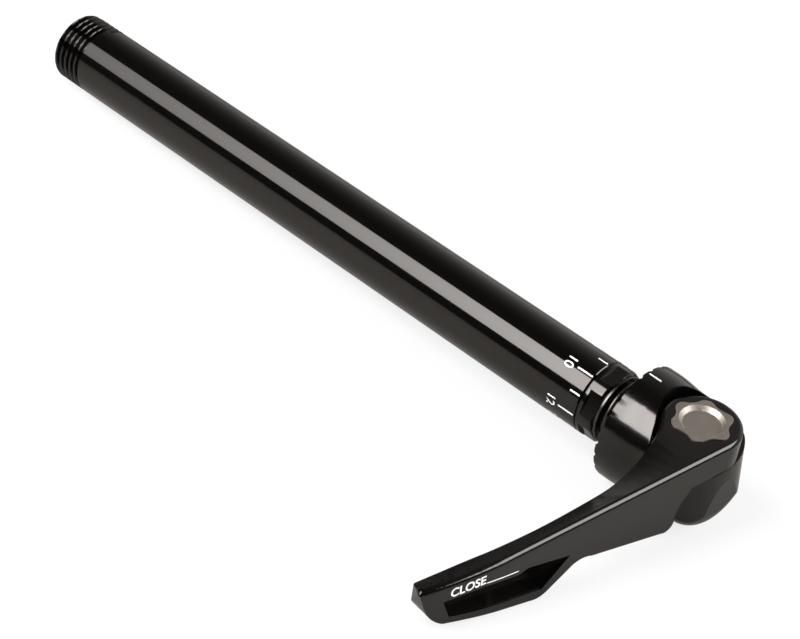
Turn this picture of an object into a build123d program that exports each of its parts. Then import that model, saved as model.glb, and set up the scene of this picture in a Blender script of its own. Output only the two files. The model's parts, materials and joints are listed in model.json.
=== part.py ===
from build123d import *
import os
from math import asin, atan2, cos, degrees, hypot, pi, radians, sin

# Thru axle with a cam lever, for a 15 mm by 110 mm fork. All lengths are millimetres.
# The axle lies along +Y, with its threaded end at +Y and the lever's head at -Y.
# The origin is on the axle's axis, in the plane where the flange seats on the fork leg.
# The head is drawn with its pivot upright, and then rolled about the axle to its rest angle,
# where the flange's rim and the lever's low corner lie on the same surface.

# Axle tube
AXLE_RADIUS = 7.5
THREAD_END_Y = 158.2
SEAM_Y = 8.3
TUBE_BORE_RADIUS = 5.3
SOCKET_RADIUS = 4.3
SHOULDER_Y = 22.0
END_CHAMFER = 0.7
EDGE_BREAK = 0.17

# Thread on the far end
THREAD_PITCH = 1.5
THREAD_TURNS = 6
THREAD_DEPTH = 0.9
CREST_WIDTH = 0.34
ROOT_WIDTH = 0.42

# Index collar, turned with a 14 mm spanner
SEAM_GAP = 0.2
COLLAR_END_Y = 4.3
COLLAR_CHAMFER = 0.5
FLAT_DISTANCE = 7.0
FLAT_INNER_Y = 7.2
FLAT_CORNER = 0.7
FLAT_COUNT = 6
FLAT_TURN = 4.0

# Draw stud, which joins the tube to the cam
TAIL_RADIUS = 4.25
TAIL_END_Y = 20.0
GUIDE_RADIUS = 5.2
GUIDE_END_Y = -5.0
SCREW_HOLE_RADIUS = 2.5
SCREW_HOLE_END_Y = 5.0
O_RING_WIRE = 0.62
O_RING_Y = -3.0
O_RING_CENTRE_RADIUS = 4.55
YOKE_HALF_WIDTH = 6.0
YOKE_TOP_Z = 0.5
YOKE_BOTTOM_Z = -4.2
YOKE_CORNER_RADIUS = 6.6

# Index screw, reached through the tube from the threaded end
SCREW_HEAD_RADIUS = 4.2
SCREW_HEAD_HEIGHT = 4.0
SCREW_TIP_Y = 8.0
SCREW_SOCKET_ACROSS_FLATS = 4.0
SCREW_SOCKET_DEPTH = 2.4
WASHER_THICKNESS = 0.8
WASHER_RADIUS = 5.0
WASHER_BORE_RADIUS = 2.6

# Cam housing with its toothed flange
FLANGE_RADIUS = 11.7
BODY_RADIUS = 11.1
BODY_START_Y = -9.4
SEAT_BORE_RADIUS = 7.2
SEAT_BORE_DEPTH = 2.0
GUIDE_BORE_RADIUS = 5.25
TOOTH_COUNT = 24
TOOTH_CUTTER_RADIUS = 0.95
TOOTH_DEPTH = 0.55
TOOTH_INNER_RADIUS = 8.6
PIVOT_Y = -13.7
END_HALF_LENGTH = 7.4
END_FULLNESS = 0.68
END_SWELL = 2.0
END_REACH = 7.8
END_CORNER = 4.5
FLOOR_Z = 3.0
HEAD_POCKET_RADIUS = 7.9
ARM_POCKET_TURN = 27.0
OPEN_POCKET_X = 0.5
YOKE_SLOT_HALF_WIDTH = 6.4
YOKE_SLOT_TOP_Z = 0.8
YOKE_SLOT_BOTTOM_Z = -4.5
YOKE_SLOT_CORNER_RADIUS = 6.9
RIM_ROUND = 0.45

# Cam shaft with its lobed head, and what it runs in
CAM_TRAVEL = 1.3
LEVER_OPEN_ANGLE = 120.0
CAM_RADIUS = 3.4
CAM_CLEARANCE = 0.12
SHAFT_RADIUS = 4.4
TAIL_PIN_RADIUS = 2.6
BUSH_CLEARANCE = 0.04
UPPER_BUSH_WALL = 0.9
LOWER_BUSH_WALL = 0.9
LOWER_BUSH_BOTTOM_Z = -8.3
SHAFT_BOTTOM_Z = -10.0
CLIP_BOTTOM_Z = -9.5
CLIP_THICKNESS = 0.6
CLIP_GROOVE_DEPTH = 0.4
CLIP_RADIUS = 4.0
CLIP_OPENING = 2.2
SHIM_RADIUS = 3.6
FOOT_BORE_RADIUS = 4.4
STAR_TOP_Z = 9.5
STAR_BOTTOM_Z = 7.6
STAR_TIP_RADIUS = 5.85
STAR_WAIST_RADIUS = 5.0
STAR_LOBES = 6
STAR_TURN = -32.6
DISH_RADIUS = 3.5
DISH_RIM_RADIUS = 4.3
DISH_DEPTH = 0.75

# Return spring round the neck
SPRING_RADIUS = 6.1
SPRING_WIRE_RADIUS = 0.42
SPRING_TURNS = 3
SPRING_WASHER_THICKNESS = 0.6
SPRING_WASHER_RADIUS = 6.9

# Lever, in its own frame: X runs along the arm from the pivot, Y points outboard, Z is up
LEVER_LEAN = 7.5
HEAD_RADIUS = 7.6
HEAD_BOTTOM_Z = 3.3
LEVER_TOP_Z = 9.3
LEVER_LENGTH = 69.8
BEND_START_X = 52.0
BEND_X = 62.0
BEND_OUTER_Y = 6.95
TIP_OUTER_Y = 5.7
TIP_ROUND = 1.2
BLADE_CLEARANCE_RADIUS = 11.6
LOW_CORNER_X = 43.1
LOW_CORNER_Z = -4.75
RIM_FILLET = 1.0
SLOPE_START_X = 8.0
SLOPE_FULL_X = 27.0
SLOPE_STEPS = 8
TOP_SLOPE = 0.56
POCKET_FLOOR_Y = 4.9
POCKET_DRAFT = 20.0
THRUST_WASHER_RADIUS = 7.0


def turned(points):
    """A solid turned about the axle's axis from (radius, y) points."""
    return revolve(make_face(Polyline(*points, close=True)), Axis.Y)


def barrel(radius, y0, y1):
    """A cylinder on the axle's axis from y0 to y1."""
    return Pos(0, (y0 + y1) / 2, 0) * Rot(90, 0, 0) * Cylinder(radius, abs(y1 - y0))


def post(radius, z0, z1, x=0.0, y=PIVOT_Y):
    """An upright cylinder, on the pivot's axis unless it is placed elsewhere."""
    return Pos(x, y, (z0 + z1) / 2) * Cylinder(radius, z1 - z0)


def block(x0, x1, y0, y1, z0, z1):
    """A box between two corners."""
    centre = Pos((x0 + x1) / 2, (y0 + y1) / 2, (z0 + z1) / 2)
    return centre * Box(x1 - x0, y1 - y0, z1 - z0)


def axle_tube():
    """The hollow 15 mm shaft, with a chamfered and threaded far end."""
    first_crest = THREAD_END_Y - END_CHAMFER - THREAD_TURNS * THREAD_PITCH
    flank = (THREAD_PITCH - CREST_WIDTH - ROOT_WIDTH) / 2
    root = AXLE_RADIUS - THREAD_DEPTH
    outline = [
        (TUBE_BORE_RADIUS, THREAD_END_Y),
        (TUBE_BORE_RADIUS, SHOULDER_Y),
        (SOCKET_RADIUS, SHOULDER_Y),
        (SOCKET_RADIUS, SEAM_Y),
        (AXLE_RADIUS - EDGE_BREAK, SEAM_Y),
        (AXLE_RADIUS, SEAM_Y + EDGE_BREAK),
    ]
    for turn in range(THREAD_TURNS):
        y = first_crest + turn * THREAD_PITCH
        outline.append((AXLE_RADIUS, y))
        outline.append((root, y + flank))
        outline.append((root, y + flank + ROOT_WIDTH))
        outline.append((AXLE_RADIUS, y + 2 * flank + ROOT_WIDTH))
    outline.append((AXLE_RADIUS, THREAD_END_Y - END_CHAMFER))
    outline.append((AXLE_RADIUS - END_CHAMFER, THREAD_END_Y))
    return turned(outline)


def index_collar():
    """The collar beyond the seam, with six spanner flats open towards the flange."""
    top = SEAM_Y - SEAM_GAP
    ring = turned([
        (TAIL_RADIUS, top),
        (AXLE_RADIUS - EDGE_BREAK, top),
        (AXLE_RADIUS, top - EDGE_BREAK),
        (AXLE_RADIUS, COLLAR_END_Y + COLLAR_CHAMFER),
        (AXLE_RADIUS - COLLAR_CHAMFER, COLLAR_END_Y),
        (TAIL_RADIUS, COLLAR_END_Y),
    ])
    side = AXLE_RADIUS
    depth = FLAT_INNER_Y - COLLAR_END_Y + 1.0
    width = 2 * (AXLE_RADIUS ** 2 - FLAT_DISTANCE ** 2) ** 0.5 - 0.2
    cutter = extrude(RectangleRounded(width + 2 * FLAT_CORNER, 2 * depth, FLAT_CORNER), side)
    cutter = Pos(0, FLAT_INNER_Y - depth, FLAT_DISTANCE) * cutter
    for flat in range(FLAT_COUNT):
        ring -= Rot(0, -(FLAT_TURN + flat * 360 / FLAT_COUNT), 0) * cutter
    return ring


def draw_stud():
    """The stud: a tail in the tube, a guide in the housing, and a yoke round the cam."""
    stud = barrel(TAIL_RADIUS, COLLAR_END_Y, TAIL_END_Y)
    stud += barrel(GUIDE_RADIUS, GUIDE_END_Y, COLLAR_END_Y)
    plate = block(-YOKE_HALF_WIDTH, YOKE_HALF_WIDTH, PIVOT_Y, GUIDE_END_Y, YOKE_BOTTOM_Z, YOKE_TOP_Z)
    yoke = plate + post(YOKE_HALF_WIDTH, YOKE_BOTTOM_Z, YOKE_TOP_Z)
    stud += yoke & barrel(YOKE_CORNER_RADIUS, 2 * PIVOT_Y, 0)
    # The slot lets the cam move sideways, and its straight walls carry the pull
    _, cam_y, throw = cam_offset()
    slot = SlotCenterToCenter(2 * throw + CAM_CLEARANCE, 2 * (CAM_RADIUS + CAM_CLEARANCE))
    stud -= Pos(0, PIVOT_Y + cam_y, 0) * extrude(slot, 20, both=True)
    stud -= barrel(SCREW_HOLE_RADIUS, SCREW_HOLE_END_Y, TAIL_END_Y + 1)
    groove_bottom = O_RING_CENTRE_RADIUS - O_RING_WIRE
    groove_half = O_RING_WIRE + 0.08
    stud -= barrel(GUIDE_RADIUS + 1, O_RING_Y - groove_half, O_RING_Y + groove_half) - barrel(
        groove_bottom, O_RING_Y - 2 * groove_half, O_RING_Y + 2 * groove_half
    )
    return stud


def cam_offset():
    """The cam's centre from the pivot with the lever closed, as (x, y), and the cam's throw."""
    half_turn = LEVER_OPEN_ANGLE / 2
    throw = CAM_TRAVEL / (2 * sin(radians(half_turn)))
    return throw * cos(radians(half_turn)), -throw * sin(radians(half_turn)), throw


def o_ring():
    """The rubber ring in the stud's groove."""
    wire = O_RING_WIRE
    profile = Pos(O_RING_CENTRE_RADIUS, O_RING_Y) * Circle(wire)
    return revolve(profile, Axis.Y)


def index_screw():
    """The hexagon socket screw that clamps the stud against the shoulder in the tube."""
    head_start = SHOULDER_Y + WASHER_THICKNESS
    screw = barrel(SCREW_HOLE_RADIUS, SCREW_TIP_Y, head_start)
    screw += barrel(SCREW_HEAD_RADIUS, head_start, head_start + SCREW_HEAD_HEIGHT)
    socket = extrude(RegularPolygon(SCREW_SOCKET_ACROSS_FLATS / 2, 6, major_radius=False), SCREW_SOCKET_DEPTH)
    return screw - Pos(0, head_start + SCREW_HEAD_HEIGHT, 0) * Rot(90, 0, 0) * socket


def screw_washer():
    """The washer between the screw's head and the tube's shoulder."""
    end = SHOULDER_Y + WASHER_THICKNESS
    return barrel(WASHER_RADIUS, SHOULDER_Y, end) - barrel(WASHER_BORE_RADIUS, SHOULDER_Y - 1, end + 1)


def end_plan(half_length, z):
    """The outline of the housing's rounded end at one height."""
    side = (BODY_RADIUS + 0.01, 0)
    shoulder = (0.74 * BODY_RADIUS, -END_FULLNESS * half_length)
    nose = (0, -half_length)
    half = make_face([
        Spline(side, shoulder, nose, tangents=[(0, -1), (-1, 0)]),
        Line(nose, (0, 0)),
        Line((0, 0), side),
    ])
    return Pos(0, PIVOT_Y, z) * (half + mirror(half, Plane.YZ))


def housing_blank():
    """The housing before it is milled: a toothed flange, a barrel and a rounded end."""
    end_y = PIVOT_Y - END_REACH
    profile = make_face([
        Line((0, 0), (FLANGE_RADIUS - RIM_ROUND, 0)),
        ThreePointArc(
            (FLANGE_RADIUS - RIM_ROUND, 0),
            (FLANGE_RADIUS - 0.29 * RIM_ROUND, -0.29 * RIM_ROUND),
            (FLANGE_RADIUS, -RIM_ROUND),
        ),
        Line((FLANGE_RADIUS, -RIM_ROUND), (FLANGE_RADIUS, -2.4)),
        Spline(
            (FLANGE_RADIUS, -2.4),
            ((FLANGE_RADIUS + BODY_RADIUS) / 2, BODY_START_Y * 0.63),
            (BODY_RADIUS, BODY_START_Y),
            tangents=[(0, -1), (0, -1)],
        ),
        Line((BODY_RADIUS, BODY_START_Y), (BODY_RADIUS, end_y + END_CORNER)),
        ThreePointArc(
            (BODY_RADIUS, end_y + END_CORNER),
            (BODY_RADIUS - 0.293 * END_CORNER, end_y + 0.293 * END_CORNER),
            (BODY_RADIUS - END_CORNER, end_y),
        ),
        Line((BODY_RADIUS - END_CORNER, end_y), (0, end_y)),
        Line((0, end_y), (0, 0)),
    ])
    blank = revolve(profile, Axis.Y)
    plan = block(-20, 20, PIVOT_Y, 20, -20, 20)
    # The end swells towards its foot
    rounded_end = loft([
        end_plan(END_HALF_LENGTH, FLOOR_Z + 0.5),
        end_plan(END_HALF_LENGTH + END_SWELL, -BODY_RADIUS - 1),
    ])
    return blank & (plan + rounded_end)


def flange_housing():
    """The cam housing, milled for the lever's head, the yoke and the cam shaft."""
    housing = housing_blank()
    # Radial notches leave rounded teeth round the seat's rim
    notch = Pos(0, TOOTH_CUTTER_RADIUS - TOOTH_DEPTH, (TOOTH_INNER_RADIUS + 14) / 2) * Cylinder(
        TOOTH_CUTTER_RADIUS, 14 - TOOTH_INNER_RADIUS
    )
    for tooth in range(TOOTH_COUNT):
        housing -= Rot(0, (tooth + 0.5) * 360 / TOOTH_COUNT, 0) * notch
    housing -= barrel(SEAT_BORE_RADIUS, -SEAT_BORE_DEPTH, 1)
    housing -= barrel(GUIDE_BORE_RADIUS, GUIDE_END_Y - 0.4 - CAM_TRAVEL, 1)
    # Above the floor the lever's head and arm have the housing's outboard half to themselves
    housing -= block(-20, 20, -40, PIVOT_Y, FLOOR_Z, 20)
    housing -= post(HEAD_POCKET_RADIUS, FLOOR_Z, 20)
    housing -= post(HEAD_POCKET_RADIUS, FLOOR_Z, 20, OPEN_POCKET_X)
    # The closed arm leaves the pocket along a straight wall
    beside_arm = block(-20, 0, -HEAD_POCKET_RADIUS / 2, HEAD_POCKET_RADIUS, FLOOR_Z, 20)
    housing -= Pos(0, PIVOT_Y, 0) * Rot(0, 0, ARM_POCKET_TURN) * beside_arm
    # The yoke goes in through the flange, along a slot beside the guide bore
    slot = block(
        -YOKE_SLOT_HALF_WIDTH, YOKE_SLOT_HALF_WIDTH,
        PIVOT_Y, 1,
        YOKE_SLOT_BOTTOM_Z, YOKE_SLOT_TOP_Z,
    )
    slot += post(YOKE_SLOT_HALF_WIDTH, YOKE_SLOT_BOTTOM_Z, YOKE_SLOT_TOP_Z)
    housing -= slot & barrel(YOKE_SLOT_CORNER_RADIUS, 2 * PIVOT_Y, 1)
    # Bores for the cam shaft and its bushes, and a foot bore for the clip
    housing -= post(SHAFT_RADIUS + BUSH_CLEARANCE + UPPER_BUSH_WALL, 0, FLOOR_Z + 1)
    housing -= post(TAIL_PIN_RADIUS + BUSH_CLEARANCE + LOWER_BUSH_WALL, LOWER_BUSH_BOTTOM_Z, YOKE_SLOT_BOTTOM_Z + 1)
    housing -= post(FOOT_BORE_RADIUS, -20, LOWER_BUSH_BOTTOM_Z)
    return housing


def upper_bush():
    """The bush that carries the shaft's thick end, under the lever."""
    outer = SHAFT_RADIUS + BUSH_CLEARANCE + UPPER_BUSH_WALL
    return post(outer, YOKE_SLOT_TOP_Z, FLOOR_Z) - post(SHAFT_RADIUS + BUSH_CLEARANCE, -1, 5)


def lower_bush():
    """The bush that carries the shaft's thin end, below the yoke."""
    outer = TAIL_PIN_RADIUS + BUSH_CLEARANCE + LOWER_BUSH_WALL
    inner = TAIL_PIN_RADIUS + BUSH_CLEARANCE
    return post(outer, LOWER_BUSH_BOTTOM_Z, YOKE_SLOT_BOTTOM_Z) - post(inner, -20, 0)


def star_face():
    """The six-lobed outline of the cam shaft's head."""
    step = 2 * pi / STAR_LOBES
    points = []
    for lobe in range(STAR_LOBES):
        tip = radians(STAR_TURN) + lobe * step
        for turn, radius in ((-0.13, STAR_TIP_RADIUS - 0.12), (0.13, STAR_TIP_RADIUS - 0.12),
                             (0.5 - 0.17, STAR_WAIST_RADIUS + 0.08), (0.5 + 0.17, STAR_WAIST_RADIUS + 0.08)):
            angle = tip + turn * step
            points.append((radius * cos(angle), radius * sin(angle)))
    return make_face(Spline(*points, periodic=True))


def star_head(grow=0.0):
    """The lobed head as a prism, grown a little when it cuts its own seat in the lever."""
    face = star_face()
    if grow:
        face = offset(face, grow, kind=Kind.ARC)
    return Pos(0, PIVOT_Y, STAR_BOTTOM_Z) * extrude(face, STAR_TOP_Z - STAR_BOTTOM_Z)


def cam_shaft():
    """The steel cam shaft: lobed head, thick journal, cam, and a thin journal with a clip groove."""
    x, y, _ = cam_offset()
    shaft = star_head()
    shaft += post(SHAFT_RADIUS, YOKE_SLOT_TOP_Z, STAR_BOTTOM_Z)
    shaft += post(CAM_RADIUS, YOKE_SLOT_BOTTOM_Z, YOKE_SLOT_TOP_Z, x, PIVOT_Y + y)
    shaft += post(TAIL_PIN_RADIUS, SHAFT_BOTTOM_Z, YOKE_SLOT_BOTTOM_Z)
    dish = Pos(0, PIVOT_Y, STAR_TOP_Z - DISH_DEPTH / 2) * Cone(DISH_RADIUS, DISH_RIM_RADIUS, DISH_DEPTH)
    shaft -= dish
    groove_bottom = TAIL_PIN_RADIUS - CLIP_GROOVE_DEPTH
    groove_top = CLIP_BOTTOM_Z + CLIP_THICKNESS
    shaft -= post(TAIL_PIN_RADIUS + 1, CLIP_BOTTOM_Z, groove_top) - post(groove_bottom, -20, 0)
    return shaft


def retaining_clip():
    """The snap ring in the shaft's groove, open on one side."""
    inner = TAIL_PIN_RADIUS - CLIP_GROOVE_DEPTH
    top = CLIP_BOTTOM_Z + CLIP_THICKNESS
    ring = post(CLIP_RADIUS, CLIP_BOTTOM_Z, top) - post(inner, -20, 0)
    return ring - block(-CLIP_OPENING / 2, CLIP_OPENING / 2, PIVOT_Y - 10, PIVOT_Y, -20, 0)


def clip_shim():
    """The thin washer between the clip and the lower bush."""
    bottom = CLIP_BOTTOM_Z + CLIP_THICKNESS
    return post(SHIM_RADIUS, bottom, LOWER_BUSH_BOTTOM_Z) - post(TAIL_PIN_RADIUS + BUSH_CLEARANCE, -20, 0)


def thrust_washer():
    """The plain washer that the lever's head turns on."""
    return post(THRUST_WASHER_RADIUS, FLOOR_Z, HEAD_BOTTOM_Z) - post(SHAFT_RADIUS + BUSH_CLEARANCE, 0, 5)


def spring_washer():
    """The steel washer that the return spring pushes on."""
    inner = GUIDE_RADIUS
    return barrel(SPRING_WASHER_RADIUS, COLLAR_END_Y - SPRING_WASHER_THICKNESS, COLLAR_END_Y) - barrel(inner, 0, 9)


def return_spring():
    """The open coil that pushes the housing back when the lever opens."""
    start = -SEAT_BORE_DEPTH + SPRING_WIRE_RADIUS + 0.02
    end = COLLAR_END_Y - SPRING_WASHER_THICKNESS - SPRING_WIRE_RADIUS - 0.02
    coil = Helix((end - start) / SPRING_TURNS, end - start, SPRING_RADIUS)
    wire = sweep(Plane(coil @ 0, z_dir=coil % 0) * Circle(SPRING_WIRE_RADIUS), coil, is_frenet=True)
    return Pos(0, end, 0) * Rot(90, 0, 0) * wire


def lever_plan():
    """The lever seen from above: a round head that runs into a slim arm."""
    outer = HEAD_RADIUS
    inner_start = (HEAD_RADIUS * cos(radians(-42)), HEAD_RADIUS * sin(radians(-42)))
    inner_tangent = (cos(radians(48)), sin(radians(48)))
    tip_outer = (LEVER_LENGTH, TIP_OUTER_Y)
    tip_inner = (LEVER_LENGTH - 1.8, 2.0)
    edges = [
        Line((0, outer), (BEND_START_X, outer)),
        Spline((BEND_START_X, outer), (BEND_X, BEND_OUTER_Y), tip_outer, tangents=[(1, 0), (1, -0.25)]),
        Line(tip_outer, tip_inner),
        Spline(
            tip_inner, (60, 2.2), (50, 3.1), (42, 3.45), (33, 3.05), (23.6, 2.15), (16.5, 0.75), (11.3, -1.2),
            inner_start,
            tangents=[(-1, 0), (-inner_tangent[0], -inner_tangent[1])],
        ),
        ThreePointArc(inner_start, (-HEAD_RADIUS, 0), (0, outer)),
    ]
    outline = make_face(edges)
    tip_corners = outline.vertices().sort_by(Axis.X)[-2:].sort_by(Axis.Y)
    outline = fillet(tip_corners[1], TIP_ROUND / 3)
    tip_corners = outline.vertices().filter_by(lambda corner: corner.Y < tip_inner[1] + 0.01)
    return fillet(tip_corners.sort_by(Axis.X)[-1], TIP_ROUND)


def lever_side():
    """The lever seen from outboard: a level top, a waisted blade and a cut-away under the head."""
    top = LEVER_TOP_Z
    edges = [
        Line((-12, top + 1), (LEVER_LENGTH + 0.3, top + 1)),
        Line((LEVER_LENGTH + 0.3, top + 1), (68.5, 5.4)),
        ThreePointArc((68.5, 5.4), (67.0, 2.5), (64.4, 0.2)),
        Line((64.4, 0.2), (45.0, -4.5)),
        ThreePointArc((45.0, -4.5), (LOW_CORNER_X, LOW_CORNER_Z), (41.4, -4.2)),
        Line((41.4, -4.2), (36.0, -0.75)),
        ThreePointArc((36.0, -0.75), (33.9, -0.35), (31.6, -0.95)),
        Line((31.6, -0.95), (14.0, -5.0)),
        ThreePointArc((14.0, -5.0), (12.0, -4.9), (11.2, -3.4)),
        ThreePointArc((11.2, -3.4), (9.9, 1.3), (7.6, HEAD_BOTTOM_Z)),
        Line((7.6, HEAD_BOTTOM_Z), (-12, HEAD_BOTTOM_Z)),
        Line((-12, HEAD_BOTTOM_Z), (-12, top + 1)),
    ]
    return make_face(edges)


def slope_section(x, slope, outer):
    """A quadrilateral across the arm that stays above its falling top."""
    inner = -10.0
    drop = slope * (outer - inner)
    points = [(x, outer, LEVER_TOP_Z), (x, inner, LEVER_TOP_Z - drop), (x, inner, 20), (x, outer, 20)]
    return Wire.make_polygon([Vector(*point) for point in points], close=True)


def top_slope():
    """What is cut off the arm's top, which falls away inboard and is level at the head."""
    edge = HEAD_RADIUS - RIM_FILLET
    sections = []
    for step in range(SLOPE_STEPS + 1):
        share = step / SLOPE_STEPS
        x = SLOPE_START_X + share * (SLOPE_FULL_X - SLOPE_START_X)
        slope = TOP_SLOPE * share * share * (3 - 2 * share)
        sections.append(slope_section(x, max(slope, 0.012), edge))
    # Past the bend the slope's outer line turns inboard with the face
    sections.append(slope_section(BEND_START_X, TOP_SLOPE, edge))
    sections.append(slope_section(BEND_X, TOP_SLOPE, BEND_OUTER_Y - RIM_FILLET))
    sections.append(slope_section(LEVER_LENGTH + 1, TOP_SLOPE, TIP_OUTER_Y - RIM_FILLET))
    return Solid.make_loft(sections, True)


def finger_pocket():
    """The drafted pocket in the outboard face near the tip."""
    mouth = make_face(Polyline(
        (65.5, 5.9), (63.5, 1.1), (42.9, -3.0), (37.2, 2.2), (47.1, 4.6), (49.2, 4.1), (56.7, 5.4), close=True
    ))
    mouth = Pos(0, HEAD_RADIUS, 0) * (Plane.XZ * mouth)
    pocket = extrude(mouth, HEAD_RADIUS - POCKET_FLOOR_Y, taper=POCKET_DRAFT)
    return pocket + extrude(mouth, 3, dir=(0, 1, 0))


def lever():
    """The forged lever, in its own frame and then set at its closed angle on the pivot."""
    arm = Pos(0, 0, LEVER_TOP_Z) * extrude(lever_plan(), 20, dir=(0, 0, -1))
    rim = arm.faces().sort_by(Axis.Z)[-1].edges()
    arm = fillet(rim, RIM_FILLET)
    arm &= extrude(Plane.XZ * lever_side(), 20, both=True)
    arm -= top_slope()
    # The blade clears the housing wherever the lever is turned
    below = Cylinder(BLADE_CLEARANCE_RADIUS, 20, align=(Align.CENTER, Align.CENTER, Align.MAX))
    arm -= Pos(0, 0, HEAD_BOTTOM_Z) * below
    arm -= finger_pocket()
    placed = Pos(0, PIVOT_Y, 0) * Rot(0, 0, 180 - LEVER_LEAN) * arm
    placed -= post(SHAFT_RADIUS, 0, 20)
    placed -= star_head() + post(STAR_WAIST_RADIUS - 0.2, STAR_TOP_Z - 0.5, 20)
    return placed


def rest_roll():
    """The roll about the axle that lays the lever's low corner on the plane under the flange."""
    lean = radians(LEVER_LEAN)
    x = LOW_CORNER_X * cos(lean) + HEAD_RADIUS * sin(lean)
    y = PIVOT_Y + LOW_CORNER_X * sin(lean) - HEAD_RADIUS * cos(lean)
    fall = (FLANGE_RADIUS - AXLE_RADIUS) / THREAD_END_Y
    depth = FLANGE_RADIUS - fall * y
    return degrees(asin(depth / hypot(x, LOW_CORNER_Z)) - atan2(-LOW_CORNER_Z, x))


PARTS = {
    "axle_tube": axle_tube,
    "index_collar": index_collar,
    "draw_stud": draw_stud,
    "stud_o_ring": o_ring,
    "index_screw": index_screw,
    "screw_washer": screw_washer,
    "spring_washer": spring_washer,
    "return_spring": return_spring,
    "flange_housing": flange_housing,
    "upper_bush": upper_bush,
    "lower_bush": lower_bush,
    "cam_shaft": cam_shaft,
    "clip_shim": clip_shim,
    "retaining_clip": retaining_clip,
    "thrust_washer": thrust_washer,
    "lever": lever,
}

roll = rest_roll()
print("rest roll", round(roll, 3))
os.makedirs("parts", exist_ok=True)
for name, make in PARTS.items():
    solid = Rot(0, -roll, 0) * make()
    export_step(solid, f"parts/{name}.step")
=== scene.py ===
import bpy
import bmesh
import json
from math import cos, pi, radians, sin
from mathutils import Matrix, Vector
from mathutils.bvhtree import BVHTree

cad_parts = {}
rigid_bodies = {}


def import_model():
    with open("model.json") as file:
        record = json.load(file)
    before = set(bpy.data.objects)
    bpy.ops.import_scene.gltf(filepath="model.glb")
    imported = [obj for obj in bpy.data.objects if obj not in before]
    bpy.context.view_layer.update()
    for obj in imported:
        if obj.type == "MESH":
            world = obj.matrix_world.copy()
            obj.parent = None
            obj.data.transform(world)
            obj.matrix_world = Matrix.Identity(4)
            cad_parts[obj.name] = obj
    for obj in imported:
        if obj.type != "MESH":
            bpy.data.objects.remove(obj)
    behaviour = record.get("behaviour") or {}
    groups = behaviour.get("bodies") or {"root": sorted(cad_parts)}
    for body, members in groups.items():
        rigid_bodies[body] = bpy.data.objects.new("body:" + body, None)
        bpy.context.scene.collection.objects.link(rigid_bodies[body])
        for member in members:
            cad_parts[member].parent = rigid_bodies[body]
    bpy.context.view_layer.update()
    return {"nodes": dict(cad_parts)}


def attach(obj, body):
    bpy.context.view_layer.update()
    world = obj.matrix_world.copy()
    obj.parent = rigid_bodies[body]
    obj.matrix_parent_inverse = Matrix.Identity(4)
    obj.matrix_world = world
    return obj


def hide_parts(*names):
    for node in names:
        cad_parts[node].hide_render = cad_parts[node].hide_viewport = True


# The scene is in metres, and sizes are written in millimetres times MM.
MM = 0.001

# The head is rolled about the axle to its rest angle, and drawn here with its pivot upright
HEAD_ROLL = radians(-9.789)
PIVOT_Y = -13.7 * MM
LEVER_LEAN = radians(7.5)

# Edges of the nodes that stay
WELD_DISTANCE = 0.002 * MM
SOFT_EDGE_ANGLE = radians(35)

# Axle tube
AXLE_RADIUS = 7.5 * MM
SEAM_Y = 8.3 * MM
TUBE_END_Y = 158.2 * MM
TUBE_BORE_RADIUS = 5.3 * MM
SOCKET_RADIUS = 4.3 * MM
SHOULDER_Y = 22.0 * MM
EDGE_BREAK = 0.17 * MM
END_CHAMFER = 0.7 * MM
BORE_CHAMFER = 0.4 * MM
TUBE_SEGMENTS = 160
SEAM_SUPPORT_Y = SEAM_Y + 4 * EDGE_BREAK

# Thread at the far end
THREAD_PITCH = 1.5 * MM
THREAD_DEPTH = 0.86 * MM
THREAD_START_Y = 148.5 * MM
THREAD_END_Y = 157.5 * MM
THREAD_STEP = 0.075 * MM
THREAD_FADE_TURNS = 0.35
CREST_SHARE = 0.2
ROOT_SHARE = 0.28

# Scale printed round the tube, and the index line on the flange
POSITION_COUNT = 11
POSITION_STEP = radians(360 / 11)
LAST_POSITION = 12
LAST_POSITION_ANGLE = radians(92.9)
TICK_START_Y = 8.57 * MM
LONG_TICK = 3.6 * MM
SHORT_TICK = 2.25 * MM
TICK_WIDTH = 0.34 * MM
NUMBER_Y = 14.95 * MM
NUMBER_WEIGHT = 0.006
NUMBER_SIZE = 2.8 * MM
PRINT_LIFT = 0.015 * MM
INDEX_LINE_ANGLE = radians(-1.3)
INDEX_LINE_START_Y = -0.75 * MM
INDEX_LINE_END_Y = -3.5 * MM
INDEX_LINE_WIDTH = 0.34 * MM
INDEX_LINE_ROWS = 12
INDEX_LINE_COLUMNS = 3
TICK_COLUMNS = 5
LETTER_RESOLUTION = 6

# Word and line printed on the lever
WORD_START = 63.6 * MM
WORD_BASE_Z = 6.05 * MM
WORD_SIZE = 2.75 * MM
WORD_NARROWING = 0.86
WORD_SLANT = -0.06
LINE_START = 56.4 * MM
LINE_START_Z = 6.0 * MM
LINE_END = 49.4 * MM
LINE_END_Z = 5.1 * MM
LINE_WIDTH = 0.26 * MM
LINE_STEPS = 12
PRINT_FROM_Y = 20 * MM
WORD_WEIGHT = 0.026

# Camera, fitted to the photograph
CAMERA_PLACE = (-313.28 * MM, -162.69 * MM, 216.94 * MM)
CAMERA_TURN = (radians(58.266), radians(-12.830), radians(-47.183))
CAMERA_LENS = 100.78
SENSOR_WIDTH = 36.0

# Floor under the flange, the threaded end and the lever's low corner
FLOOR_SIZE = 6.0
FLOOR_GLOW = 0.78
FLANGE_RADIUS = 11.7 * MM
MOST_FLOOR_TURN = radians(1.5)
TURN_HALVINGS = 14
FLOOR_COLOUR = (0.82, 0.82, 0.82)
# Painted pool of light on the floor, seen only in reflections: its glowing share, middle, bright and dark
# radii, and dimmed tone
PAINTED_POOL_GLOW = 0.15
PAINTED_POOL_MIDDLE = (0, 0.08, 0)
PAINTED_POOL_BRIGHT_RADIUS = 0.04
PAINTED_POOL_DARK_RADIUS = 0.29
PAINTED_POOL_TONE = (0.435, 0.414, 0.393)

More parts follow.
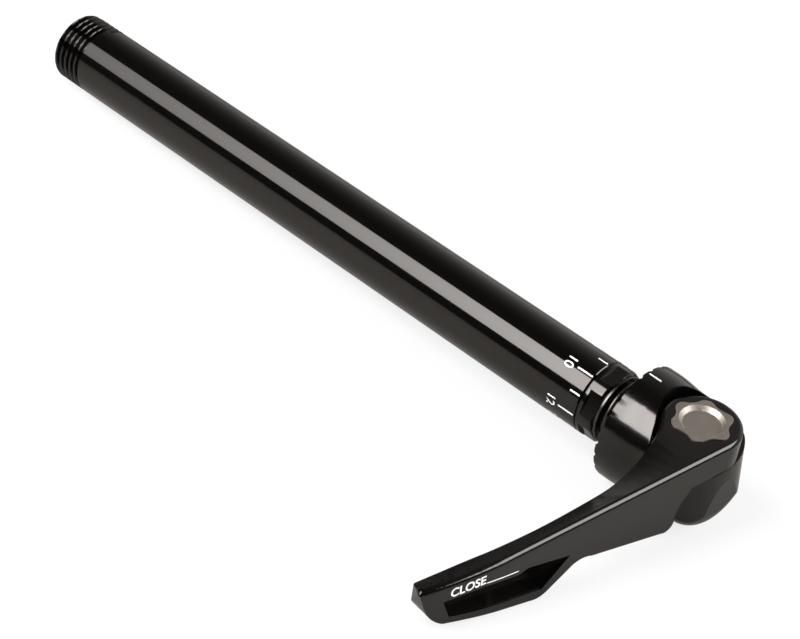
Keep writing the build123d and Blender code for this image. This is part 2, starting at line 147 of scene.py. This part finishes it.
# Room as the gloss shows it, and the plain fill
ROOM_DARK = 0.006
ROOM_BRIGHT = 0.85
ROOM_DARK_X = -0.2
ROOM_CURVE = 2.6
FILL_LIGHT = 0.42

# Softboxes: the key stands over the -X side, turned from straight up
KEY_ANGLE = radians(-47.3)
KEY_DISTANCE = 1.0
KEY_WIDTH = 0.77
KEY_START_Y = 0.05
KEY_END_Y = 1.35
KEY_BRIGHT_Y = 0.42
KEY_FADE = 0.43
KEY_RADIANCE = 11.5
KEY_MOST_SHARE = 1.15
HEAD_LAMP_DIRECTION = (0.42, -0.69, 0.59)
HEAD_LAMP_DISTANCE = 1.0
HEAD_LAMP_WIDTH = 0.5
HEAD_LAMP_HEIGHT = 0.72
HEAD_LAMP_RADIANCE = 7.5


def clear_scene():
    """Removes what a new file holds."""
    for thing in list(bpy.data.objects):
        bpy.data.objects.remove(thing)


def new_piece(name, mesh, body):
    """An object for a mesh that is already in place, riding on a body."""
    piece = bpy.data.objects.new(name, mesh)
    bpy.context.scene.collection.objects.link(piece)
    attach(piece, body)
    return piece


def mesh_from(name, points, faces):
    """A mesh with its faces turned outwards."""
    mesh = bpy.data.meshes.new(name)
    mesh.from_pydata(points, [], faces)
    shape = bmesh.new()
    shape.from_mesh(mesh)
    bmesh.ops.recalc_face_normals(shape, faces=shape.faces)
    shape.to_mesh(mesh)
    shape.free()
    for polygon in mesh.polygons:
        polygon.use_smooth = True
    mesh.update()
    return mesh


def round_axle(radius, turn, y):
    """A point at a radius and an angle round the axle, from the head's up towards -X."""
    angle = turn - HEAD_ROLL
    return Vector((-radius * sin(angle), y, radius * cos(angle)))


# Materials

def new_material(name):
    """A node material with its shader and output, and its node tree."""
    material = bpy.data.materials.new(name)
    material.use_nodes = True
    tree = material.node_tree
    return material, tree, tree.nodes["Principled BSDF"]


def object_noise(tree, scale, stretch=(1, 1, 1), detail=4.0):
    """Noise on the piece's own coordinates, in one direction or all."""
    place = tree.nodes.new("ShaderNodeTexCoord")
    mapping = tree.nodes.new("ShaderNodeMapping")
    mapping.inputs["Scale"].default_value = stretch
    noise = tree.nodes.new("ShaderNodeTexNoise")
    noise.inputs["Scale"].default_value = scale
    noise.inputs["Detail"].default_value = detail
    tree.links.new(place.outputs["Object"], mapping.inputs["Vector"])
    tree.links.new(mapping.outputs["Vector"], noise.inputs["Vector"])
    return noise


def ranged(tree, source, low, high):
    """A value's usual spread, mapped between two limits."""
    spread = tree.nodes.new("ShaderNodeMapRange")
    spread.inputs["From Min"].default_value = 0.3
    spread.inputs["From Max"].default_value = 0.7
    spread.inputs["To Min"].default_value = low
    spread.inputs["To Max"].default_value = high
    tree.links.new(source, spread.inputs["Value"])
    return spread.outputs["Result"]


def add_bump(tree, shader, source, distance):
    """Fine relief from a value."""
    bump = tree.nodes.new("ShaderNodeBump")
    bump.inputs["Distance"].default_value = distance
    tree.links.new(source, bump.inputs["Height"])
    tree.links.new(bump.outputs["Normal"], shader.inputs["Normal"])


def two_tone(tree, source, dark, light):
    """A colour that wanders between two tones."""
    mix = tree.nodes.new("ShaderNodeMix")
    mix.data_type = "RGBA"
    mix.inputs["A"].default_value = (*dark, 1)
    mix.inputs["B"].default_value = (*light, 1)
    tree.links.new(source, mix.inputs["Factor"])
    return mix.outputs["Result"]


def black_anodised(name, roughness, spread, relief, stretch=(1, 1, 1)):
    """Gloss black anodised aluminium, with faint tool or polishing marks."""
    material, tree, shader = new_material(name)
    cloud = object_noise(tree, 90)
    grain = object_noise(tree, 2600, stretch, 3.0)
    colour = two_tone(tree, cloud.outputs["Fac"], (0.0018, 0.0016, 0.0015), (0.0026, 0.0024, 0.0022))
    tree.links.new(colour, shader.inputs["Base Color"])
    rough = ranged(tree, grain.outputs["Fac"], roughness - spread, roughness + spread)
    tree.links.new(rough, shader.inputs["Roughness"])
    shader.inputs["IOR"].default_value = 1.52
    shader.inputs["Specular Tint"].default_value = (1.0, 0.955, 0.925, 1)
    add_bump(tree, shader, grain.outputs["Fac"], relief)
    return material


def plated_metal(name, dark, light, roughness, spread, relief):
    """Bare or plated metal with fine grain."""
    material, tree, shader = new_material(name)
    grain = object_noise(tree, 1800, detail=5.0)
    cloud = object_noise(tree, 260)
    colour = two_tone(tree, cloud.outputs["Fac"], dark, light)
    tree.links.new(colour, shader.inputs["Base Color"])
    tree.links.new(ranged(tree, grain.outputs["Fac"], roughness - spread, roughness + spread),
                   shader.inputs["Roughness"])
    shader.inputs["Metallic"].default_value = 1.0
    add_bump(tree, shader, grain.outputs["Fac"], relief)
    return material


def dull_solid(name, dark, light, roughness):
    """Rubber, plastic or ink."""
    material, tree, shader = new_material(name)
    grain = object_noise(tree, 1200)
    colour = two_tone(tree, grain.outputs["Fac"], dark, light)
    tree.links.new(colour, shader.inputs["Base Color"])
    shader.inputs["Roughness"].default_value = roughness
    add_bump(tree, shader, grain.outputs["Fac"], 0.004 * MM)
    return material


def make_materials():
    """Every finish of the object, by the part that wears it."""
    lengthwise = (1, 0.04, 1)
    return {
        "tube": black_anodised("tube_black_anodised", 0.07, 0.02, 0.0006 * MM, lengthwise),
        "collar": black_anodised("collar_black_anodised", 0.10, 0.03, 0.001 * MM),
        "housing": black_anodised("housing_black_anodised", 0.13, 0.03, 0.001 * MM),
        "lever": black_anodised("lever_black_anodised", 0.12, 0.03, 0.0014 * MM),
        "nickel": plated_metal(
            "nickel_satin", (0.35, 0.315, 0.28), (0.41, 0.37, 0.33), 0.5, 0.07, 0.005 * MM
        ),
        "stud": plated_metal(
            "black_oxide_steel", (0.05, 0.048, 0.046), (0.08, 0.077, 0.073), 0.35, 0.08, 0.003 * MM
        ),
        "zinc": plated_metal(
            "zinc_steel", (0.42, 0.42, 0.42), (0.52, 0.52, 0.51), 0.32, 0.08, 0.003 * MM
        ),
        "spring": plated_metal(
            "oiled_spring_steel", (0.07, 0.066, 0.062), (0.11, 0.105, 0.10), 0.3, 0.06, 0.002 * MM
        ),
        "bronze": plated_metal(
            "sintered_bronze", (0.34, 0.22, 0.10), (0.46, 0.31, 0.15), 0.45, 0.1, 0.006 * MM
        ),
        "rubber": dull_solid("black_rubber", (0.010, 0.010, 0.010), (0.016, 0.016, 0.016), 0.38),
        "acetal": dull_solid("black_acetal", (0.018, 0.018, 0.018), (0.026, 0.026, 0.026), 0.42),
        "ink": dull_solid("white_ink", (0.80, 0.80, 0.79), (0.86, 0.86, 0.85), 0.45),
    }


def dress(node, material):
    """Gives a carried-over node its finish."""
    node.data.materials.clear()
    node.data.materials.append(material)


def soft_edges(node, width):
    """Rounds a node's sharp edges for the picture, without changing its mesh."""
    weld = node.modifiers.new("weld", "WELD")
    weld.merge_threshold = WELD_DISTANCE
    bevel = node.modifiers.new("edges", "BEVEL")
    bevel.width = width
    bevel.segments = 2
    bevel.limit_method = "ANGLE"
    bevel.angle_limit = SOFT_EDGE_ANGLE
    normals = node.modifiers.new("normals", "WEIGHTED_NORMAL")
    normals.keep_sharp = True


# Axle tube

def thread_radius(turns, y):
    """The tube's radius in the threaded stretch, a number of turns and a height along."""
    along = (y - THREAD_START_Y) / THREAD_PITCH - turns
    phase = along - int(along // 1)
    flank = (1 - CREST_SHARE - ROOT_SHARE) / 2
    if phase < CREST_SHARE:
        depth = 0.0
    elif phase < CREST_SHARE + flank:
        depth = (phase - CREST_SHARE) / flank
    elif phase < CREST_SHARE + flank + ROOT_SHARE:
        depth = 1.0
    else:
        depth = (1 - phase) / flank
    # The groove runs out at the tube's side and is cut off by the chamfer at its end
    run_out = min(1.0, max(0.0, along / THREAD_FADE_TURNS))
    return AXLE_RADIUS - THREAD_DEPTH * depth * run_out


def axle_tube(materials):
    """The shaft with a true helical thread, turned as one closed skin."""
    rows = [
        (SOCKET_RADIUS, SHOULDER_Y), (SOCKET_RADIUS, SEAM_Y),
        (AXLE_RADIUS - EDGE_BREAK, SEAM_Y), (AXLE_RADIUS, SEAM_Y + EDGE_BREAK),
        (AXLE_RADIUS, SEAM_SUPPORT_Y),
    ]
    rows += [(AXLE_RADIUS, SHOULDER_Y + share * (THREAD_START_Y - SHOULDER_Y)) for share in (0, 0.5, 0.99)]
    count = round((THREAD_END_Y - THREAD_START_Y) / THREAD_STEP)
    rows += [(None, THREAD_START_Y + step * THREAD_STEP) for step in range(count + 1)]
    steps = round(END_CHAMFER / THREAD_STEP)
    for step in range(1, steps + 1):
        rows.append((AXLE_RADIUS - END_CHAMFER * step / steps, THREAD_END_Y + END_CHAMFER * step / steps))
    rows += [
        (TUBE_BORE_RADIUS + BORE_CHAMFER, TUBE_END_Y),
        (TUBE_BORE_RADIUS, TUBE_END_Y - BORE_CHAMFER),
        (TUBE_BORE_RADIUS, SHOULDER_Y),
    ]
    points = []
    for radius, y in rows:
        for segment in range(TUBE_SEGMENTS):
            share = segment / TUBE_SEGMENTS
            if radius is None:
                here = thread_radius(share, y)
            elif y > THREAD_END_Y and radius > TUBE_BORE_RADIUS + BORE_CHAMFER:
                here = min(radius, thread_radius(share, y))
            else:
                here = radius
            points.append((here * sin(2 * pi * share), y, here * cos(2 * pi * share)))
    faces = []
    for row in range(len(rows)):
        after = (row + 1) % len(rows)
        for segment in range(TUBE_SEGMENTS):
            beside = (segment + 1) % TUBE_SEGMENTS
            faces.append((
                row * TUBE_SEGMENTS + segment, row * TUBE_SEGMENTS + beside,
                after * TUBE_SEGMENTS + beside, after * TUBE_SEGMENTS + segment,
            ))
    mesh = mesh_from("threaded_tube", points, faces)
    mesh.set_sharp_from_angle(angle=radians(32))
    mesh.materials.append(materials["tube"])
    piece = new_piece("threaded_tube", mesh, "axle")
    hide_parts("axle_tube")
    return piece


# Printed marks

def group_input(tree, name, kind, value):
    """A named input of a geometry tree, with its usual value."""
    socket = tree.interface.new_socket(name=name, in_out="INPUT", socket_type=kind)
    if kind != "NodeSocketMaterial":
        socket.default_value = value
    return socket.identifier, value


def geometry_value(tree, operation, first, second, third=None):
    """Arithmetic in a geometry tree, on sockets or numbers."""
    node = tree.nodes.new("ShaderNodeMath")
    node.operation = operation
    for socket, value in zip(node.inputs, (first, second, third)):
        if isinstance(value, (int, float)):
            socket.default_value = value
        elif value is not None:
            tree.links.new(value, socket)
    return node.outputs["Value"]


def vector_of(tree, x, y, z):
    """Three values as a vector."""
    node = tree.nodes.new("ShaderNodeCombineXYZ")
    for socket, value in zip(node.inputs, (x, y, z)):
        if isinstance(value, (int, float)):
            socket.default_value = value
        else:
            tree.links.new(value, socket)
    return node.outputs["Vector"]


def tick_ring_tree(materials):
    """A tree that bends one tick round the tube and repeats it, long and short in turn."""
    tree = bpy.data.node_groups.new("tick_ring", "GeometryNodeTree")
    tree.interface.new_socket(name="Geometry", in_out="INPUT", socket_type="NodeSocketGeometry")
    tree.interface.new_socket(name="Geometry", in_out="OUTPUT", socket_type="NodeSocketGeometry")
    settings = dict([
        group_input(tree, "Count", "NodeSocketInt", POSITION_COUNT),
        group_input(tree, "First Turn", "NodeSocketFloat", HEAD_ROLL - LAST_POSITION_ANGLE),
        group_input(tree, "Step", "NodeSocketFloat", POSITION_STEP),
        group_input(tree, "Radius", "NodeSocketFloat", AXLE_RADIUS + PRINT_LIFT),
        group_input(tree, "Width", "NodeSocketFloat", TICK_WIDTH),
        group_input(tree, "Start", "NodeSocketFloat", TICK_START_Y),
        group_input(tree, "Long", "NodeSocketFloat", LONG_TICK),
        group_input(tree, "Short", "NodeSocketFloat", SHORT_TICK),
        group_input(tree, "Ink", "NodeSocketMaterial", materials["ink"]),
    ])
    given = tree.nodes.new("NodeGroupInput").outputs
    link = tree.links.new
    # One tick is a unit long and already as wide as it is printed
    grid = tree.nodes.new("GeometryNodeMeshGrid")
    grid.inputs["Vertices X"].default_value = TICK_COLUMNS
    grid.inputs["Vertices Y"].default_value = 2
    link(given["Width"], grid.inputs["Size X"])
    grid.inputs["Size Y"].default_value = 1.0
    where = tree.nodes.new("GeometryNodeInputPosition")
    split = tree.nodes.new("ShaderNodeSeparateXYZ")
    link(where.outputs["Position"], split.inputs["Vector"])
    turn = geometry_value(tree, "DIVIDE", split.outputs["X"], given["Radius"])
    bent = vector_of(
        tree,
        geometry_value(tree, "MULTIPLY", geometry_value(tree, "SINE", turn, None), given["Radius"]),
        geometry_value(tree, "ADD", split.outputs["Y"], 0.5),
        geometry_value(tree, "MULTIPLY", geometry_value(tree, "COSINE", turn, None), given["Radius"]),
    )
    bend = tree.nodes.new("GeometryNodeSetPosition")
    link(grid.outputs["Mesh"], bend.inputs["Geometry"])
    link(bent, bend.inputs["Position"])
    points = tree.nodes.new("GeometryNodePoints")
    link(given["Count"], points.inputs["Count"])
    link(vector_of(tree, 0.0, given["Start"], 0.0), points.inputs["Position"])
    index = tree.nodes.new("GeometryNodeInputIndex").outputs["Index"]
    odd = geometry_value(tree, "MODULO", index, 2.0)
    shortening = geometry_value(tree, "SUBTRACT", given["Short"], given["Long"])
    length = geometry_value(tree, "MULTIPLY_ADD", odd, shortening, given["Long"])
    place = geometry_value(tree, "MULTIPLY_ADD", index, given["Step"], given["First Turn"])
    repeat = tree.nodes.new("GeometryNodeInstanceOnPoints")
    link(points.outputs[0], repeat.inputs["Points"])
    link(bend.outputs["Geometry"], repeat.inputs["Instance"])
    link(vector_of(tree, 0.0, place, 0.0), repeat.inputs["Rotation"])
    link(vector_of(tree, 1.0, length, 1.0), repeat.inputs["Scale"])
    real = tree.nodes.new("GeometryNodeRealizeInstances")
    link(repeat.outputs["Instances"], real.inputs["Geometry"])
    paint = tree.nodes.new("GeometryNodeSetMaterial")
    link(real.outputs["Geometry"], paint.inputs["Geometry"])
    link(given["Ink"], paint.inputs["Material"])
    link(paint.outputs["Geometry"], tree.nodes.new("NodeGroupOutput").inputs["Geometry"])
    return tree, settings


def mesh_of_tree(name, tree, settings):
    """The plain mesh that a geometry tree makes."""
    carrier = bpy.data.objects.new(name, bpy.data.meshes.new(name))
    bpy.context.scene.collection.objects.link(carrier)
    maker = carrier.modifiers.new("maker", "NODES")
    maker.node_group = tree
    for identifier, value in settings.items():
        maker[identifier] = value
    bpy.context.view_layer.update()
    mesh = bpy.data.meshes.new_from_object(carrier.evaluated_get(bpy.context.evaluated_depsgraph_get()))
    mesh.name = name
    bpy.data.objects.remove(carrier)
    return mesh


def text_mesh(words, size, weight):
    """Flat lettering as a mesh, running along X with its feet near the X axis."""
    curve = bpy.data.curves.new("lettering", "FONT")
    curve.body = words
    curve.size = size
    curve.resolution_u = LETTER_RESOLUTION
    curve.offset = weight * size
    carrier = bpy.data.objects.new("lettering", curve)
    bpy.context.scene.collection.objects.link(carrier)
    bpy.context.view_layer.update()
    shape = bmesh.new()
    final = carrier.evaluated_get(bpy.context.evaluated_depsgraph_get())
    shape.from_mesh(bpy.data.meshes.new_from_object(final))
    bpy.data.objects.remove(carrier)
    bpy.data.curves.remove(curve)
    bmesh.ops.remove_doubles(shape, verts=shape.verts, dist=0.001 * MM)
    return shape


def scale_marks(materials):
    """The ticks and numbers printed round the tube beside the seam."""
    mesh = mesh_of_tree("scale_ticks", *tick_ring_tree(materials))
    new_piece("scale_ticks", mesh, "axle")
    radius = AXLE_RADIUS + PRINT_LIFT
    for position in range(0, POSITION_COUNT, 2):
        number = LAST_POSITION - position
        turn = LAST_POSITION_ANGLE - position * POSITION_STEP
        shape = text_mesh(str(number), NUMBER_SIZE, NUMBER_WEIGHT)
        middle = (min(v.co.x for v in shape.verts) + max(v.co.x for v in shape.verts)) / 2
        foot = min(v.co.y for v in shape.verts)
        for corner in shape.verts:
            along = corner.co.y - foot
            across = corner.co.x - middle
            corner.co = round_axle(radius, turn + across / radius, NUMBER_Y - along)
        mesh = bpy.data.meshes.new(f"scale_number_{number}")
        shape.to_mesh(mesh)
        shape.free()
        mesh.materials.append(materials["ink"])
        new_piece(f"scale_number_{number}", mesh, "axle")


def surface_of(node):
    """A search tree over a node's mesh."""
    mesh = node.data
    return BVHTree.FromPolygons([v.co for v in mesh.vertices], [p.vertices for p in mesh.polygons])


def index_line(frame, materials):
    """The white line on the flange that points at the scale."""
    surface = surface_of(frame["nodes"]["flange_housing"])
    rows = INDEX_LINE_ROWS
    columns = INDEX_LINE_COLUMNS
    points = []
    faces = []
    for row in range(rows + 1):
        y = INDEX_LINE_START_Y + (INDEX_LINE_END_Y - INDEX_LINE_START_Y) * row / rows
        for column in range(columns + 1):
            turn = INDEX_LINE_ANGLE + (column / columns - 0.5) * INDEX_LINE_WIDTH / FLANGE_RADIUS
            start = round_axle(2 * FLANGE_RADIUS, turn, y)
            axis = Vector((0, y, 0))
            hit = surface.ray_cast(start, axis - start)[0]
            points.append(axis + (hit - axis) * (1 + PRINT_LIFT / FLANGE_RADIUS))
    for row in range(rows):
        for column in range(columns):
            first = row * (columns + 1) + column
            faces.append((first, first + 1, first + columns + 2, first + columns + 1))
    mesh = bpy.data.meshes.new("index_line")
    mesh.from_pydata(points, [], faces)
    mesh.materials.append(materials["ink"])
    new_piece("index_line", mesh, "housing")


def lever_place():
    """From the lever's own frame, X along the arm and Y outboard, to the object's."""
    turn = Matrix.Rotation(pi - LEVER_LEAN, 4, "Z")
    return Matrix.Rotation(HEAD_ROLL, 4, "Y") @ Matrix.Translation((0, PIVOT_Y, 0)) @ turn


def lay_on_lever(shape, surface, place):
    """Drops flat lettering, drawn in the arm's X and Z, on the outboard face."""
    inward = (place.to_3x3() @ Vector((0, -1, 0))).normalized()
    for corner in shape.verts:
        start = place @ Vector((corner.co.x, PRINT_FROM_Y, corner.co.z))
        hit = surface.ray_cast(start, inward)[0]
        corner.co = hit - inward * PRINT_LIFT


def lever_print(frame, materials):
    """The word and the thin line near the lever's tip."""
    surface = surface_of(frame["nodes"]["lever"])
    place = lever_place()
    word = text_mesh("CLOSE", WORD_SIZE, WORD_WEIGHT)
    left = min(v.co.x for v in word.verts)
    for corner in word.verts:
        run = WORD_NARROWING * (corner.co.x - left) + WORD_SLANT * corner.co.y
        corner.co = Vector((WORD_START - run, 0, WORD_BASE_Z + corner.co.y))
    lay_on_lever(word, surface, place)
    mesh = bpy.data.meshes.new("close_word")
    word.to_mesh(mesh)
    word.free()
    mesh.materials.append(materials["ink"])
    new_piece("close_word", mesh, "lever")
    line = bmesh.new()
    last = None
    for step in range(LINE_STEPS + 1):
        x = LINE_START + (LINE_END - LINE_START) * step / LINE_STEPS
        z = LINE_START_Z + (LINE_END_Z - LINE_START_Z) * step / LINE_STEPS
        pair = [line.verts.new((x, 0, z - LINE_WIDTH / 2)), line.verts.new((x, 0, z + LINE_WIDTH / 2))]
        if last:
            line.faces.new((last[0], pair[0], pair[1], last[1]))
        last = pair
    lay_on_lever(line, surface, place)
    mesh = bpy.data.meshes.new("close_line")
    line.to_mesh(mesh)
    line.free()
    mesh.materials.append(materials["ink"])
    new_piece("close_line", mesh, "lever")


def dress_nodes(frame, materials):
    """Finishes and soft edges for the nodes that stay."""
    nodes = frame["nodes"]
    finishes = {
        "index_collar": ("collar", 0.12), "flange_housing": ("housing", 0.16), "lever": ("lever", 0.22),
        "cam_shaft": ("nickel", 0.16), "draw_stud": ("stud", 0.1), "stud_o_ring": ("rubber", None),
        "index_screw": ("zinc", 0.15), "screw_washer": ("zinc", 0.08), "spring_washer": ("spring", 0.08),
        "return_spring": ("spring", None), "upper_bush": ("bronze", 0.08), "lower_bush": ("bronze", 0.08),
        "clip_shim": ("zinc", 0.06), "retaining_clip": ("spring", 0.08), "thrust_washer": ("acetal", 0.05),
    }
    for name, (finish, width) in finishes.items():
        dress(nodes[name], materials[finish])
        if width:
            soft_edges(nodes[name], width * MM)


# Surroundings

def floor_tilt():
    """How the floor rises from under the flange to the threaded end."""
    return (FLANGE_RADIUS - AXLE_RADIUS) / TUBE_END_Y


def floor_turn(lever):
    """The floor's turn about the axle at which the lever's low corner just touches it."""
    corners = [v.co for v in lever.data.vertices]
    low = -MOST_FLOOR_TURN
    high = MOST_FLOOR_TURN
    for _ in range(TURN_HALVINGS):
        middle = (low + high) / 2
        back = Matrix.Rotation(-middle, 3, "Y")
        gap = min((back @ corner).z + FLANGE_RADIUS - floor_tilt() * corner.y for corner in corners)
        if gap > 0:
            low = middle
        else:
            high = middle
    return low


def from_node(tree, kind, **settings):
    """A new node with its settings."""
    node = tree.nodes.new(kind)
    for name, value in settings.items():
        setattr(node, name, value)
    return node


def math_node(tree, operation, first, second=None):
    """A value worked out from one or two others, which may be sockets or numbers."""
    node = from_node(tree, "ShaderNodeMath", operation=operation)
    for socket, value in zip(node.inputs, (first, second)):
        if value is None:
            continue
        if isinstance(value, (int, float)):
            socket.default_value = value
        else:
            tree.links.new(value, socket)
    return node.outputs["Value"]


def emission(tree, colour, strength):
    """Light of one colour, with its strength as a number or a socket."""
    node = tree.nodes.new("ShaderNodeEmission")
    node.inputs["Color"].default_value = (*colour, 1)
    if isinstance(strength, (int, float)):
        node.inputs["Strength"].default_value = strength
    else:
        tree.links.new(strength, node.inputs["Strength"])
    return node.outputs["Emission"]


def mix_of(tree, factor, first, second):
    """Two shaders mixed by a number or a socket."""
    node = tree.nodes.new("ShaderNodeMixShader")
    if isinstance(factor, (int, float)):
        node.inputs["Fac"].default_value = factor
    else:
        tree.links.new(factor, node.inputs["Fac"])
    tree.links.new(first, node.inputs[1])
    tree.links.new(second, node.inputs[2])
    return node.outputs["Shader"]


def mirror_rays(tree, path):
    """One for a ray that comes off or through a polished surface."""
    return math_node(tree, "MAXIMUM", path.outputs["Is Glossy Ray"], path.outputs["Is Transmission Ray"])


def floor_material():
    """White to the camera with the object's shadow, and a painted pool of light on the floor in
    reflections.
    """
    material = bpy.data.materials.new("floor_white")
    material.use_nodes = True
    tree = material.node_tree
    tree.nodes.clear()
    output = tree.nodes.new("ShaderNodeOutputMaterial")
    path = tree.nodes.new("ShaderNodeLightPath")
    diffuse = tree.nodes.new("ShaderNodeBsdfDiffuse")
    diffuse.inputs["Color"].default_value = (*FLOOR_COLOUR, 1)
    lit = diffuse.outputs["BSDF"]
    to_camera = mix_of(tree, FLOOR_GLOW, lit, emission(tree, (1, 1, 1), 1.0))
    # Painted pool of light: reflections see the floor's light fade out with distance from the pool's
    # middle
    place = tree.nodes.new("ShaderNodeTexCoord")
    reach = from_node(tree, "ShaderNodeVectorMath", operation="DISTANCE")
    reach.inputs[1].default_value = PAINTED_POOL_MIDDLE
    tree.links.new(place.outputs["Object"], reach.inputs[0])
    fade = tree.nodes.new("ShaderNodeMapRange")
    fade.interpolation_type = "SMOOTHSTEP"
    fade.inputs["From Min"].default_value = PAINTED_POOL_BRIGHT_RADIUS
    fade.inputs["From Max"].default_value = PAINTED_POOL_DARK_RADIUS
    fade.inputs["To Min"].default_value = 1.0
    fade.inputs["To Max"].default_value = 0.0
    tree.links.new(reach.outputs["Value"], fade.inputs["Value"])
    shaded = tree.nodes.new("ShaderNodeBsdfDiffuse")
    shaded.inputs["Color"].default_value = (*PAINTED_POOL_TONE, 1)
    # The painted pool is a dimmed floor tone, partly lit and partly glowing; past it reflections see the
    # dark room
    pool = mix_of(tree, PAINTED_POOL_GLOW, shaded.outputs["BSDF"], emission(tree, PAINTED_POOL_TONE, 1.0))
    dark = emission(tree, (1, 1, 1), ROOM_DARK)
    mirrored = mix_of(tree, fade.outputs["Result"], dark, pool)
    by_camera = mix_of(tree, path.outputs["Is Camera Ray"], lit, to_camera)
    tree.links.new(mix_of(tree, mirror_rays(tree, path), by_camera, mirrored), output.inputs["Surface"])
    return material


def make_floor(lever):
    """A white floor that touches the object at its three points of rest."""
    mesh = bpy.data.meshes.new("floor")
    half = FLOOR_SIZE / 2
    rise = floor_tilt()
    corners = [(-half, -half), (half, -half), (half, half), (-half, half)]
    turn = Matrix.Rotation(floor_turn(lever), 3, "Y")
    points = [turn @ Vector((x, y, -FLANGE_RADIUS + rise * y)) for x, y in corners]
    mesh.from_pydata(points, [], [(0, 1, 2, 3)])
    floor = bpy.data.objects.new("floor", mesh)
    bpy.context.scene.collection.objects.link(floor)
    mesh.materials.append(floor_material())


def make_world():
    """White behind the object, a dim room that brightens towards +X in reflections, and a plain fill."""
    world = bpy.data.worlds.new("studio")
    bpy.context.scene.world = world
    world.use_nodes = True
    tree = world.node_tree
    tree.nodes.clear()
    output = tree.nodes.new("ShaderNodeOutputWorld")
    path = tree.nodes.new("ShaderNodeLightPath")
    place = tree.nodes.new("ShaderNodeTexCoord")
    split = tree.nodes.new("ShaderNodeSeparateXYZ")
    tree.links.new(place.outputs["Generated"], split.inputs["Vector"])
    share = tree.nodes.new("ShaderNodeMapRange")
    share.inputs["From Min"].default_value = ROOM_DARK_X
    share.inputs["From Max"].default_value = 1.0
    tree.links.new(split.outputs["X"], share.inputs["Value"])
    curve = math_node(tree, "POWER", share.outputs["Result"], ROOM_CURVE)
    room = math_node(tree, "ADD", math_node(tree, "MULTIPLY", curve, ROOM_BRIGHT), ROOM_DARK)
    fill = background(tree, (1, 1, 1), FILL_LIGHT)
    seen = background(tree, (1, 1, 1), 1.0)
    mirrored = background(tree, (1, 0.97, 0.94), room)
    indirect = mix_of(tree, mirror_rays(tree, path), fill, mirrored)
    tree.links.new(mix_of(tree, path.outputs["Is Camera Ray"], indirect, seen), output.inputs["Surface"])


def background(tree, colour, strength):
    """Light from the world, with its strength as a number or a socket."""
    node = tree.nodes.new("ShaderNodeBackground")
    node.inputs["Color"].default_value = (*colour, 1)
    if isinstance(strength, (int, float)):
        node.inputs["Strength"].default_value = strength
    else:
        tree.links.new(strength, node.inputs["Strength"])
    return node.outputs["Background"]


def facing(direction):
    """A turn whose Z points along a direction, with its Y as near the axle as it can be."""
    away = Vector(direction).normalized()
    along = Vector((0, 1, 0)) - away * away.y
    along.normalize()
    across = along.cross(away)
    return Matrix((across, along, away)).transposed().to_4x4()


def key_softbox():
    """The long softbox up beside the camera, brighter at the end near the head."""
    half = KEY_WIDTH / 2
    points = [(-half, KEY_START_Y, 0), (half, KEY_START_Y, 0), (half, KEY_END_Y, 0), (-half, KEY_END_Y, 0)]
    turn = Matrix.Rotation(KEY_ANGLE, 4, "Y")
    place = turn @ Matrix.Translation((0, 0, KEY_DISTANCE))
    mesh = bpy.data.meshes.new("key_softbox")
    mesh.from_pydata([place @ Vector(point) for point in points], [], [(0, 3, 2, 1)])
    material = bpy.data.materials.new("key_light")
    material.use_nodes = True
    tree = material.node_tree
    tree.nodes.clear()
    place = tree.nodes.new("ShaderNodeTexCoord")
    split = tree.nodes.new("ShaderNodeSeparateXYZ")
    tree.links.new(place.outputs["Object"], split.inputs["Vector"])
    past = math_node(tree, "SUBTRACT", split.outputs["Y"], KEY_BRIGHT_Y)
    falling = math_node(tree, "EXPONENT", math_node(tree, "DIVIDE", past, -KEY_FADE))
    capped = math_node(tree, "MINIMUM", falling, KEY_MOST_SHARE)
    light = emission(tree, (1, 0.985, 0.975), math_node(tree, "MULTIPLY", capped, KEY_RADIANCE))
    output = tree.nodes.new("ShaderNodeOutputMaterial")
    tree.links.new(light, output.inputs["Surface"])
    mesh.materials.append(material)
    box = bpy.data.objects.new("key_softbox", mesh)
    bpy.context.scene.collection.objects.link(box)


def head_softbox():
    """The smaller lamp beyond the head, which lights the lever's bevel."""
    lamp = bpy.data.lights.new("head_softbox", "AREA")
    lamp.shape = "RECTANGLE"
    lamp.size = HEAD_LAMP_WIDTH
    lamp.size_y = HEAD_LAMP_HEIGHT
    lamp.energy = HEAD_LAMP_RADIANCE * pi * HEAD_LAMP_WIDTH * HEAD_LAMP_HEIGHT
    carrier = bpy.data.objects.new("head_softbox", lamp)
    bpy.context.scene.collection.objects.link(carrier)
    away = Vector(HEAD_LAMP_DIRECTION).normalized()
    carrier.matrix_world = Matrix.Translation(away * HEAD_LAMP_DISTANCE) @ facing(away)


def make_camera():
    """The camera at the photograph's place."""
    data = bpy.data.cameras.new("camera")
    data.sensor_fit = "HORIZONTAL"
    data.sensor_width = SENSOR_WIDTH
    data.lens = CAMERA_LENS
    data.clip_start = 0.01
    camera = bpy.data.objects.new("camera", data)
    camera.location = CAMERA_PLACE
    camera.rotation_euler = CAMERA_TURN
    bpy.context.scene.collection.objects.link(camera)
    bpy.context.scene.camera = camera


clear_scene()
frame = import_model()
bpy.context.scene.view_settings.view_transform = "Standard"
materials = make_materials()
dress_nodes(frame, materials)
axle_tube(materials)
scale_marks(materials)
index_line(frame, materials)
lever_print(frame, materials)
make_floor(frame["nodes"]["lever"])
make_world()
key_softbox()
head_softbox()
make_camera()
bpy.context.view_layer.update()
